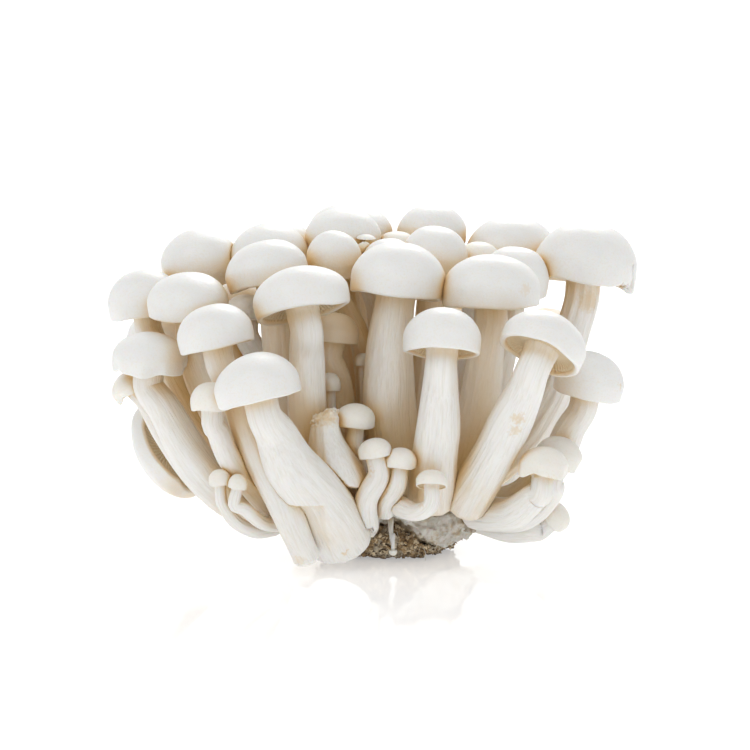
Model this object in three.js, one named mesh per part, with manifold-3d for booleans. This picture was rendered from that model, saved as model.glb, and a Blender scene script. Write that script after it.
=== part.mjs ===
// A cluster of white beech mushrooms, cut from its growing bottle and standing on its plug of sawdust.
// Millimetres, +Z up, -Y towards the viewer. The origin is the centre of the plug's flat cut face.
import * as THREE from "three";
import { mergeVertices } from "three/addons/utils/BufferGeometryUtils.js";
import Module from "manifold-3d";

const GAP = 0.3; // clearance between mushrooms that press on each other
const NECK_LENGTH = 4; // the stem's last stretch, in line with its cap
const RINGS_PER_MM = 0.1; // how closely rings follow a stem
const PLUG_RADIUS = 18.5;
const PLUG_FOOT_RADIUS = 13.5;
const PLUG_HEIGHT = 8.5;
const FELT_RADIUS = 20.5;
const FELT_TOP = 14.5;
const LOBE_RADIUS = 13.5; // where the felt hangs over the plug's side
const LOBE_FOOT = 3.2;
const LOBE_CENTRE = [8.5, -4];

// Segments round a mushroom and its cap's profile, as shares of cap radius and cap height.
// Both profiles start at the flat gill face's edge and end at the crown.
const GROWN = { segments: 10, profile: [[0.9, 0], [1, 0.18], [0.93, 0.52], [0.62, 0.86], [0, 1]] };
const YOUNG = { segments: 8, profile: [[0.9, 0], [1, 0.2], [0.8, 0.7], [0, 1]] };
const YOUNG_BELOW = 6; // a cap under this radius is a young one

const flesh = new THREE.MeshStandardMaterial({ color: 0xece8df, roughness: 0.55, metalness: 0 });
const youngFlesh = new THREE.MeshStandardMaterial({ color: 0xe6dcc4, roughness: 0.6, metalness: 0 });
const feltWhite = new THREE.MeshStandardMaterial({ color: 0xcfc8b8, roughness: 0.9, metalness: 0 });
const sawdustBrown = new THREE.MeshStandardMaterial({ color: 0x7d6040, roughness: 1, metalness: 0 });

// Each mushroom: cap is the centre of its gill face, size its cap's [radius, height], lean the cap's tilt in
// degrees [to the right, to the back], stem the points from its foot up to the neck, and thick the stem's
// radius at foot, middle and neck. The ones in front come first, and press their shape into those behind.
const MUSHROOMS = [
  // The front row.
  { name: "left_front", cap: [-39.5, -30, 51.8], size: [9, 9.9], lean: [-12, 3],
    stem: [[-19, -34.5, 4.4], [-22.4, -36.6, 12.2], [-25.8, -34.4, 20], [-30, -31.4, 29], [-35, -30.4, 41]],
    thick: [3.1, 4.7, 3.4] },
  { name: "front_short", cap: [-29, -46, 41.6], size: [9.8, 10.4], lean: [-14, 4],
    stem: [[-11.8, -25, 7.4], [-14.3, -30, 13.2], [-18, -35, 19.5], [-22.6, -39, 26], [-26, -42.5, 33.6]],
    thick: [7.4, 6.6, 3.8] },
  { name: "front_centre", cap: [11.5, -34, 50.8], size: [9, 10.4], lean: [3, 15],
    stem: [[9.5, -21, 16], [10, -26, 24], [10.8, -30.5, 33], [11.2, -32.5, 42]], thick: [5.6, 5, 3.6] },
  { name: "front_leaning_right", cap: [33.5, -34, 50.4], size: [9.9, 10], lean: [26, 24],
    stem: [[17.6, -21, 14.8], [21.5, -26, 22.5], [26.3, -31, 33], [30.5, -34, 42.5]], thick: [5.2, 4.9, 3.9] },
  { name: "left_small", cap: [-40.5, -36, 38.4], size: [4.8, 6.2], lean: [-3, 0],
    stem: [[-24, -21, 11.5], [-31, -28, 18.5], [-36.5, -33, 26.5], [-39.5, -35.3, 33.5]], thick: [3.2, 2.9, 2.5] },
  { name: "young_front_upper", cap: [-8.3, -22.5, 32.6], size: [4.9, 5.5], lean: [2, 4],
    stem: [[-5.5, -17, 14.6], [-6.3, -19.5, 20.6], [-7.7, -21.8, 27.4]], thick: [2.4, 2.4, 2.1] },
  { name: "young_front_middle", cap: [-3.4, -31, 26.8], size: [3.9, 4.4], lean: [-9, 4],
    stem: [[-5.2, -27, 10.2], [-5.6, -30.4, 17]], thick: [2.4, 2.7, 2.3] },
  { name: "young_front_right", cap: [2.1, -31, 24.6], size: [3.7, 4.4], lean: [6, -2],
    stem: [[-1.3, -24, 13], [-0.6, -28, 16.4]], thick: [2.1, 2.2, 1.8] },
  { name: "young_front_low", cap: [9.2, -36.5, 20.8], size: [3.7, 3.8], lean: [3, 22],
    stem: [[2.2, -28, 15], [5.6, -33.2, 14.4]], thick: [2.4, 2, 1.7] },
  { name: "pin_left_outer", cap: [-38.7, -35, 21], size: [2.6, 3.6], lean: [-4, 0],
    stem: [[-27, -22, 9], [-31.5, -28, 9.4], [-36, -32.5, 12.6], [-38.2, -34.5, 16.6]], thick: [1.9, 1.6, 1.3] },
  { name: "pin_left_inner", cap: [-34.8, -37, 20.5], size: [2.3, 3.3], lean: [10, 0],
    stem: [[-25.5, -25.5, 10.5], [-29.5, -32, 12], [-33.4, -36, 15.6]], thick: [1.9, 1.6, 1.3] },
  { name: "front_stump", cut: true, stem: [[-9, -23.5, 9.5], [-10.2, -26, 15.5], [-13, -27.6, 23],
    [-14.7, -27.4, 30], [-15.2, -27, 35.4]], thick: [6.4, 6.6, 3.1] },
  { name: "front_tall", cap: [-20, -24, 59.2], size: [11.3, 10.8], lean: [-12, 13],
    stem: [[-12, -13.5, 12.5], [-17.3, -17.5, 24.5], [-19.4, -19.8, 38.5], [-19.5, -22, 50.5]],
    thick: [4.4, 4.6, 3.8] },
  { name: "left_low", cap: [-56.1, -18, 45.6], size: [9.2, 8.6], lean: [3, -6],
    stem: [[-26, -17, 9.8], [-34.5, -20, 13.2], [-42, -21, 20.4], [-48, -20.5, 28.4], [-53, -19, 37]],
    thick: [3.4, 4.7, 3.5] },

  // The right side.
  { name: "right_young_curled", cap: [34.8, -31, 22.4], size: [5.9, 6.8], lean: [6, 6],
    stem: [[20, -15, 11.6], [28.5, -24.5, 13], [33.6, -30, 18]], thick: [4.2, 3.9, 2.5] },
  { name: "right_young_behind", cap: [38.6, -19, 23], size: [5.8, 7], lean: [14, 2],
    stem: [[21, -9, 9.4], [31, -13, 10.4], [38, -18, 17.5]], thick: [3.4, 3.5, 2.5] },
  { name: "right_lowest", cap: [38.2, -9, 8.8], size: [4, 4.4], lean: [52, -14],
    stem: [[20.5, -4, 8], [28.5, -7.5, 6.6], [34, -8.8, 6.6]], thick: [3.2, 3.6, 2.5] },
  { name: "right_low", cap: [46, -12, 39], size: [8.5, 10.2], lean: [12, -4],
    stem: [[21.5, -4, 11.5], [31, -6.5, 14.2], [38.3, -9.5, 21.7], [42.6, -11.5, 31]], thick: [3.2, 4, 3.4] },
  { name: "right_tall", cap: [23.5, -14, 60], size: [11.5, 12.2], lean: [0, 1],
    stem: [[12.5, -7.5, 13.5], [17, -11, 23.4], [20.6, -13, 35.6], [22.5, -14, 49.6]], thick: [4.2, 4.8, 3.8] },
  { name: "right_second", cap: [29.5, 4, 62], size: [8.7, 11], lean: [6, -3],
    stem: [[12.5, 1, 13.5], [21, 2, 28], [26.5, 3.4, 46]], thick: [3, 4, 3.2] },
  { name: "right_outer_tall", cap: [47.2, 12, 63.6], size: [13, 14.8], lean: [6, 4],
    stem: [[18.5, 4, 13], [30, 6, 22.6], [39.6, 9, 36.5], [44.2, 11, 51]], thick: [3.6, 4.9, 4.2] },
  { name: "right_button", cap: [21.8, 15, 67.6], size: [5.4, 6], lean: [0, -4],
    stem: [[8, 5, 14], [14, 9, 34], [19.8, 13, 55]], thick: [2.4, 2.8, 2.4] },
  { name: "right_back", cap: [30.5, 29, 66.6], size: [11.6, 12.6], lean: [0, -8],
    stem: [[11, 10, 13], [19, 18, 28], [27, 25, 48]], thick: [3.2, 4.2, 3.6] },

  // The middle.
  { name: "centre_tall", cap: [1.3, -14, 62.4], size: [11.4, 12.6], lean: [7, 4],
    stem: [[1.5, -7, 13.5], [0.8, -10.6, 24], [-0.2, -13, 36.4], [0, -14, 50]], thick: [5.4, 6.4, 4.7] },
  { name: "centre_second", cap: [-0.4, 3.5, 67], size: [6.8, 8], lean: [0, 0],
    stem: [[0.5, 1.5, 14], [-1.5, 2, 34], [-2.2, 3, 54]], thick: [2.6, 2.8, 2.4] },
  { name: "inner_short", cap: [-13.5, -5, 51], size: [6, 6.8], lean: [8, 0],
    stem: [[-8, -4.5, 14], [-10.6, -4.6, 28], [-12.2, -4.8, 42]], thick: [3, 3.2, 2.9] },
  { name: "inner_egg", cap: [-13.5, 2.5, 68.2], size: [6.6, 9], lean: [2, -28],
    stem: [[-4, 3.5, 14], [-5, 5, 32], [-7, 5, 50]], thick: [2.6, 2.8, 2.4] },
  { name: "inner_pin_front", cap: [-14.3, -12, 40], size: [2.8, 4.2], lean: [0, 0],
    stem: [[-9, -9.5, 15], [-12, -11, 24], [-14, -12, 34]], thick: [2, 1.8, 1.4] },
  { name: "inner_pin_back", cap: [-6.6, -3.5, 45], size: [2.1, 3], lean: [0, 0],
    stem: [[-4.8, -3, 16], [-5.8, -3, 28], [-6.5, -3.4, 39]], thick: [1.6, 1.4, 1.1] },
  { name: "centre_left", cap: [-28.5, -6, 64.8], size: [9.9, 10.2], lean: [-15, 3],
    stem: [[-14.5, -6, 13.5], [-21, -7, 28], [-26, -7, 46]], thick: [3.4, 4.1, 3.4] },
  { name: "centre_left_second", cap: [-29, 12, 67.4], size: [9.9, 10.8], lean: [-6, -5],
    stem: [[-11.5, 4.5, 14], [-19, 8, 32], [-25, 11, 50]], thick: [3.2, 4, 3.4] },
  { name: "centre_left_third", cap: [-27, 27.5, 68.2], size: [8.6, 10], lean: [6, -5],
    stem: [[-9.5, 10.5, 13], [-17, 19, 34], [-23, 25, 54]], thick: [3, 3.8, 3.2] },
  { name: "crown_left", cap: [-11.5, 17, 71.4], size: [9.4, 10.3], lean: [0, -8],
    stem: [[-3.5, 9.5, 13.5], [-7.5, 13, 34], [-10.5, 16, 56]], thick: [2.8, 3.8, 3.3] },
  { name: "crown_left_back", cap: [-10, 35, 72.4], size: [10.8, 9.8], lean: [5, -6],
    stem: [[-2, 15, 12.5], [-4.5, 24, 32], [-7, 31, 54]], thick: [3.2, 4, 3.5] },
  { name: "crown_button_left", cap: [-6.4, 9.6, 70.4], size: [4, 5.4], lean: [5, -6],
    stem: [[0, 7, 14], [-2, 8.5, 36], [-3.8, 9.5, 58]], thick: [2, 2.2, 1.9] },
  { name: "crown_right", cap: [10.5, 7, 67], size: [8.4, 10.8], lean: [5, -8],
    stem: [[5.5, 1, 14], [7, 3, 34], [9.5, 6, 52]], thick: [3, 3.6, 3.2] },
  { name: "crown_button_right", cap: [1.7, 18, 70.6], size: [5.2, 5.4], lean: [0, 0],
    stem: [[3, 11, 13.5], [2.5, 14, 36], [1.8, 17, 58]], thick: [2, 2.4, 2] },
  { name: "crown_back", cap: [10.6, 31, 72.6], size: [9.1, 9.4], lean: [0, -2],
    stem: [[5, 14, 13], [8, 22, 34], [10, 28, 54]], thick: [3, 3.8, 3.2] },

  // The left side.
  { name: "left_upper", cap: [-47.3, -11, 57.8], size: [9.8, 9.8], lean: [-3, -6],
    stem: [[-18.5, -10, 12.5], [-30, -10.5, 20], [-40, -10.5, 33], [-45.5, -10.5, 46]], thick: [3.4, 4.2, 3.5] },
  { name: "left_outer", cap: [-58.5, 3, 56.6], size: [8.9, 11], lean: [-8, -1],
    stem: [[-22, -4.5, 11.5], [-32, -5.5, 14], [-43, -4.5, 26.5], [-52, -1, 42]], thick: [2.8, 3.4, 3.2] },
  { name: "left_ragged_young", cap: [-60.6, -12, 40], size: [4.8, 4.6], lean: [-40, -6],
    stem: [[-27, -10.5, 9.8], [-37, -11, 10.8], [-46, -10.5, 17.5], [-54, -10.5, 29]], thick: [1.8, 2, 1.8] },
  { name: "left_drooping", cap: [-51.5, 6, 25], size: [13.2, 8], lean: [-122, 24],
    stem: [[-21, 0, 9.5], [-31, 1.5, 14], [-39, 2, 25], [-45, 3.2, 29.3]], thick: [2.8, 3.2, 2.8] },
  { name: "left_back_tall", cap: [-46, 14.5, 66], size: [9.6, 10.6], lean: [-8, -30],
    stem: [[-17, 5.5, 12.5], [-29, 9, 26], [-39, 13, 46]], thick: [3.2, 4, 3.4] },
  { name: "inner_left", cap: [-34.8, 9, 55.2], size: [5.6, 6], lean: [0, 0],
    stem: [[-14, 1, 14], [-24, 4, 30], [-31.8, 7.5, 46]], thick: [2.6, 3.2, 3] },

  // The back, which the front row hides.
  { name: "back_left_outer", cap: [-56, 24, 47], size: [9, 9.6], lean: [-16, 12],
    stem: [[-19, 9.5, 10.5], [-33, 14, 16], [-47, 20, 32]], thick: [3, 3.8, 3.2] },
  { name: "back_left", cap: [-41, 37, 53], size: [9.6, 9.8], lean: [-8, 14],
    stem: [[-15, 14, 11.5], [-26, 23, 22], [-36, 32, 39]], thick: [3.2, 4.2, 3.5] },
  { name: "back_centre_left", cap: [-21, 46, 57], size: [9.8, 10], lean: [-3, 15],
    stem: [[-9.5, 17, 11.5], [-14, 28, 24], [-19, 39, 42]], thick: [3.2, 4.3, 3.6] },
  { name: "back_centre", cap: [2.5, 50, 60], size: [10.2, 10.6], lean: [3, 14],
    stem: [[0, 19.5, 11], [0.5, 31, 24], [2, 42, 43]], thick: [3.4, 4.5, 3.7] },
  { name: "back_right", cap: [24.5, 46, 54.5], size: [9.4, 9.8], lean: [5, 14],
    stem: [[8, 17.5, 11], [14, 28, 22], [21, 39, 39]], thick: [3.2, 4.2, 3.5] },
  { name: "back_right_outer", cap: [40, 31, 46], size: [9, 9.8], lean: [14, 12],
    stem: [[16, 12, 11], [25, 18.5, 18], [34.5, 26.5, 32]], thick: [3.2, 4, 3.4] },
  { name: "back_low_left", cap: [-30, 49, 33], size: [7.4, 8], lean: [-14, 22],
    stem: [[-15.5, 19, 9], [-21, 31, 11.5], [-27, 42, 21]], thick: [2.6, 3.2, 2.7] },
  { name: "back_low_right", cap: [14, 57, 34], size: [7.8, 8.2], lean: [8, 24],
    stem: [[5, 22.5, 8.5], [8.5, 36, 11], [12, 49, 21]], thick: [2.8, 3.4, 2.8] },
  { name: "back_young_centre", cap: [-9, 48.5, 25], size: [4.6, 5.2], lean: [-4, 18],
    stem: [[-5, 22, 8.5], [-7, 33, 9], [-8.5, 43.5, 15.5]], thick: [2, 2.3, 2] },
  { name: "back_young_right", cap: [35, 33, 23], size: [5, 5.6], lean: [16, 14],
    stem: [[18.5, 15, 8.5], [26, 22.5, 9.5], [32.5, 30, 15.5]], thick: [2, 2.4, 2] },
];

// The unit vector of a cap that leans by these angles, in degrees, to the right and to the back.
function leanVector([right, back]) {
  const euler = new THREE.Euler(
    THREE.MathUtils.degToRad(-back), THREE.MathUtils.degToRad(right), 0, "YXZ");
  return new THREE.Vector3(0, 0, 1).applyEuler(euler);
}

// The stem's radius at u from 0 at the foot to 1 at the neck.
function stemRadius([foot, middle, neck], u) {
  return u < 0.45
    ? THREE.MathUtils.lerp(foot, middle, THREE.MathUtils.smoothstep(u, 0, 0.45))
    : THREE.MathUtils.lerp(middle, neck, THREE.MathUtils.smoothstep(u, 0.45, 1));
}

// The rows of a mushroom's outline from foot to crown: each has a radius and the centre and two directions of
// the plane its ring lies in. A cut mushroom ends in a blunt stump.
function mushroomRows(mushroom, kind, grow) {
  const points = mushroom.stem.map((p) => new THREE.Vector3(...p));
  const axis = mushroom.cut ? null : leanVector(mushroom.lean);
  const capCentre = mushroom.cut ? null : new THREE.Vector3(...mushroom.cap);
  if (!mushroom.cut) points.push(capCentre.clone().addScaledVector(axis, -NECK_LENGTH), capCentre);
  const curve = new THREE.CatmullRomCurve3(points, false, "centripetal");
  const rings = Math.max(4, Math.round(curve.getLength() * RINGS_PER_MM));
  const frames = curve.computeFrenetFrames(rings, false);
  const rows = [];
  const ring = (u, i, radius, shift) => rows.push({
    radius: radius && radius + grow,
    centre: curve.getPointAt(u).addScaledVector(frames.tangents[i], shift),
    across: frames.normals[i],
    along: frames.binormals[i],
  });
  ring(0, 0, 0, -0.55 * mushroom.thick[0] - grow);
  ring(0, 0, 0.72 * stemRadius(mushroom.thick, 0), -0.25 * mushroom.thick[0]);
  for (let i = 1; i <= rings; i++) {
    ring(i / rings, i, stemRadius(mushroom.thick, i / rings), !mushroom.cut && i === rings ? -grow : 0);
  }
  if (mushroom.cut) {
    ring(1, rings, 0, 0.5 * mushroom.thick[2] + grow);
    return rows;
  }
  const [radius, height] = mushroom.size;
  for (const [outShare, upShare] of kind.profile) {
    ring(1, rings, outShare * radius, upShare * height + grow * (2 * upShare - 1));
    rows.at(-1).centre.copy(capCentre)
      .addScaledVector(axis, upShare * height + grow * (2 * upShare - 1));
    if (outShare === 0) rows.at(-1).radius = 0;
  }
  return rows;
}

// A closed solid of revolution whose rings are then laid along the rows.
function mushroomGeometry(mushroom, grow = 0) {
  const kind = mushroom.cut || mushroom.size[0] < YOUNG_BELOW ? YOUNG : GROWN;
  const rows = mushroomRows(mushroom, kind, grow);
  const outline = rows.map((row, j) => new THREE.Vector2(row.radius, j));
  const lathe = new THREE.LatheGeometry(outline, kind.segments);
  const position = lathe.getAttribute("position");
  const vertex = new THREE.Vector3();
  for (let k = 0; k < position.count; k++) {
    const row = rows[k % rows.length];
    vertex.copy(row.centre)
      .addScaledVector(row.across, position.getX(k))
      .addScaledVector(row.along, -position.getZ(k));
    position.setXYZ(k, vertex.x, vertex.y, vertex.z);
  }
  return lathe;
}

// A squat lathe with lumps round its side, for what the mushrooms grow from.
function lumpGeometry(profile, segments, lumps, depth) {
  const outline = profile.map(([r, z]) => new THREE.Vector2(r, z));
  const lathe = new THREE.LatheGeometry(outline, segments).rotateX(Math.PI / 2);
  const position = lathe.getAttribute("position");
  for (let k = 0; k < position.count; k++) {
    const x = position.getX(k), y = position.getY(k), z = position.getZ(k);
    const turn = Math.atan2(y, x);
    const swell = 1 + depth * (Math.sin(lumps * turn + 0.5 * z) + 0.6 * Math.sin((lumps + 2) * turn - 0.9 * z));
    position.setXYZ(k, x * swell, y * swell, z);
  }
  return lathe;
}

const wasm = await Module();
wasm.setup();

// A geometry as a manifold-3d solid.
function solidOf(geometry) {
  const bare = new THREE.BufferGeometry().setIndex(geometry.index);
  bare.setAttribute("position", geometry.getAttribute("position"));
  const merged = mergeVertices(bare, 1e-4);
  return new wasm.Manifold(new wasm.Mesh({
    numProp: 3,
    vertProperties: merged.getAttribute("position").array,
    triVerts: new Uint32Array(merged.index.array),
  }));
}

// A manifold-3d solid's largest body as a geometry. Trimming can leave crumbs, which are dropped.
function geometryOf(solid) {
  const bodies = solid.decompose().sort((a, b) => b.volume() - a.volume());
  const mesh = bodies[0].getMesh();
  const geometry = new THREE.BufferGeometry();
  geometry.setAttribute("position", new THREE.BufferAttribute(Float32Array.from(mesh.vertProperties), 3));
  geometry.setIndex(new THREE.BufferAttribute(Uint32Array.from(mesh.triVerts), 1));
  geometry.computeVertexNormals();
  return geometry;
}

function boxesMeet(a, b) {
  const boxA = a.boundingBox(), boxB = b.boundingBox();
  return [0, 1, 2].every((i) => boxA.min[i] < boxB.max[i] && boxB.min[i] < boxA.max[i]);
}

// The solid less all the cutters that reach it.
function trimmed(solid, cutters) {
  return cutters.reduce((left, cutter) => (boxesMeet(left, cutter) ? left.subtract(cutter) : left), solid);
}

function addPart(group, name, solid, material) {
  const mesh = new THREE.Mesh(geometryOf(solid), material);
  mesh.name = name;
  group.add(mesh);
}

const cluster = new THREE.Group();
cluster.name = "white_beech_mushroom_cluster";

// Each mushroom gives way to those before it in the list.
const pressed = [];
for (const mushroom of MUSHROOMS) {
  const young = mushroom.cut ? false : mushroom.size[0] < YOUNG_BELOW;
  addPart(cluster, mushroom.name, trimmed(solidOf(mushroomGeometry(mushroom)), pressed),
    young ? youngFlesh : flesh);
  pressed.push(solidOf(mushroomGeometry(mushroom, GAP)));
}

// The plug of spent sawdust with its flat cut face, and the felt of mycelium that the stems grow from.
const plug = solidOf(lumpGeometry([
  [0, 0], [PLUG_FOOT_RADIUS, 0], [PLUG_RADIUS - 1.5, 0.4 * PLUG_HEIGHT], [PLUG_RADIUS, 0.75 * PLUG_HEIGHT],
  [PLUG_RADIUS - 2, PLUG_HEIGHT], [0, PLUG_HEIGHT],
], 20, 5, 0.03));

// The felt lies on the plug, and one lobe of it hangs over the plug's side.
function feltSolid(grow) {
  const foot = PLUG_HEIGHT + GAP - grow, top = FELT_TOP + grow, radius = FELT_RADIUS + grow;
  const sheet = lumpGeometry([
    [0, foot], [0.8 * radius, foot], [radius, (foot + top) / 2], [0.85 * radius, top - 0.8],
    [0.5 * radius, top], [0, top],
  ], 20, 7, 0.03);
  const lobeFoot = LOBE_FOOT - grow, lobeRadius = LOBE_RADIUS + grow;
  const lobe = lumpGeometry([
    [0, lobeFoot], [0.7 * lobeRadius, lobeFoot], [0.95 * lobeRadius, lobeFoot + 2.6],
    [lobeRadius, FELT_TOP - 4], [0.8 * lobeRadius, FELT_TOP - 1.2], [0, FELT_TOP - 1.2],
  ], 16, 5, 0.04).translate(...LOBE_CENTRE, 0);
  return solidOf(sheet).add(solidOf(lobe));
}

addPart(cluster, "mycelium_felt", trimmed(feltSolid(0), pressed), feltWhite);
addPart(cluster, "sawdust_plug", trimmed(plug, [...pressed, feltSolid(GAP)]), sawdustBrown);

export default cluster;
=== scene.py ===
"""The looks of a cluster of white beech mushrooms standing on its plug of spent sawdust.

Each mushroom grows from a round blank whose rings are laid along the stem, under the cap, round its rim and
over its crown. A mushroom gives way to the ones in front of it, as flesh does in a crowded bottle. Lengths in
the plans are millimetres in the part's frame, and everything that reaches Blender is in metres.
"""
import logging
import math
from dataclasses import dataclass, field
from enum import Enum

import bpy
import numpy as np
from mathutils import Euler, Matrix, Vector
from mathutils.bvhtree import BVHTree

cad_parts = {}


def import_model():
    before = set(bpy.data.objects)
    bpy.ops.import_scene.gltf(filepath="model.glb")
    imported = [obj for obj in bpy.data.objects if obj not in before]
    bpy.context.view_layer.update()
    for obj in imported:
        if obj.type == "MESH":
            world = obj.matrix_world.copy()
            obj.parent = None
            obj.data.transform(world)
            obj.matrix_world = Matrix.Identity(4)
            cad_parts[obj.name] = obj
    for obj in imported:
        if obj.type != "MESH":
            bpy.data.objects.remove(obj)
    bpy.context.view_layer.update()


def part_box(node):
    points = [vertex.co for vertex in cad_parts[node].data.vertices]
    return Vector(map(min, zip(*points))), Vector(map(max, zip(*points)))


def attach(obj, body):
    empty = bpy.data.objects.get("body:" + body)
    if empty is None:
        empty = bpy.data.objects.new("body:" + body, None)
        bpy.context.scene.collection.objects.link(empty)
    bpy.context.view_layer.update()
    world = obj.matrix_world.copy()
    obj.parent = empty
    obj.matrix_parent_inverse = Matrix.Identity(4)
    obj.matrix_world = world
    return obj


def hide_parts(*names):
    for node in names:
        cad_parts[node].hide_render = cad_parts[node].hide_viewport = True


logging.basicConfig(level=logging.INFO, format="%(name)s: %(message)s")
LOG = logging.getLogger("cluster")

MM = 0.001
TAU = 2 * math.pi
YOUNG_BELOW = 6.0


class Kind(Enum):
    """How far a mushroom has grown."""

    GROWN = "grown"
    YOUNG = "young"
    STUMP = "stump"


class Quirk(Enum):
    """What makes a mushroom unlike its neighbours."""

    NONE = "none"
    TORN_RIM = "torn rim"
    LOBED_RIM = "lobed rim"
    CURLED_RIM = "curled rim"
    CUT_FOLD = "cut fold"
    RAGGED_TOP = "ragged top"


class Zone(Enum):
    """The stretches of a mushroom's skin, each with a finish of its own. The value is its material slot."""

    STEM = 0
    GILLS = 1
    CAP = 2


@dataclass(frozen=True)
class Plan:
    """One mushroom's place and sizes in millimetres, and its cap's lean in degrees.

    cap is the centre of the gill face, size its radius and height, lean how far it tips to the right and to
    the back. stem runs from the foot to the neck, and thick is its radius at foot, middle and neck.
    """

    name: str
    cap: tuple[float, float, float] | None
    size: tuple[float, float] | None
    lean: tuple[float, float] | None
    stem: tuple[tuple[float, float, float], ...]
    thick: tuple[float, float, float]

    @property
    def kind(self) -> Kind:
        """The mushroom's kind, which its cap's radius tells."""
        if self.cap is None:
            return Kind.STUMP
        return Kind.YOUNG if self.size[0] < YOUNG_BELOW else Kind.GROWN


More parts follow.
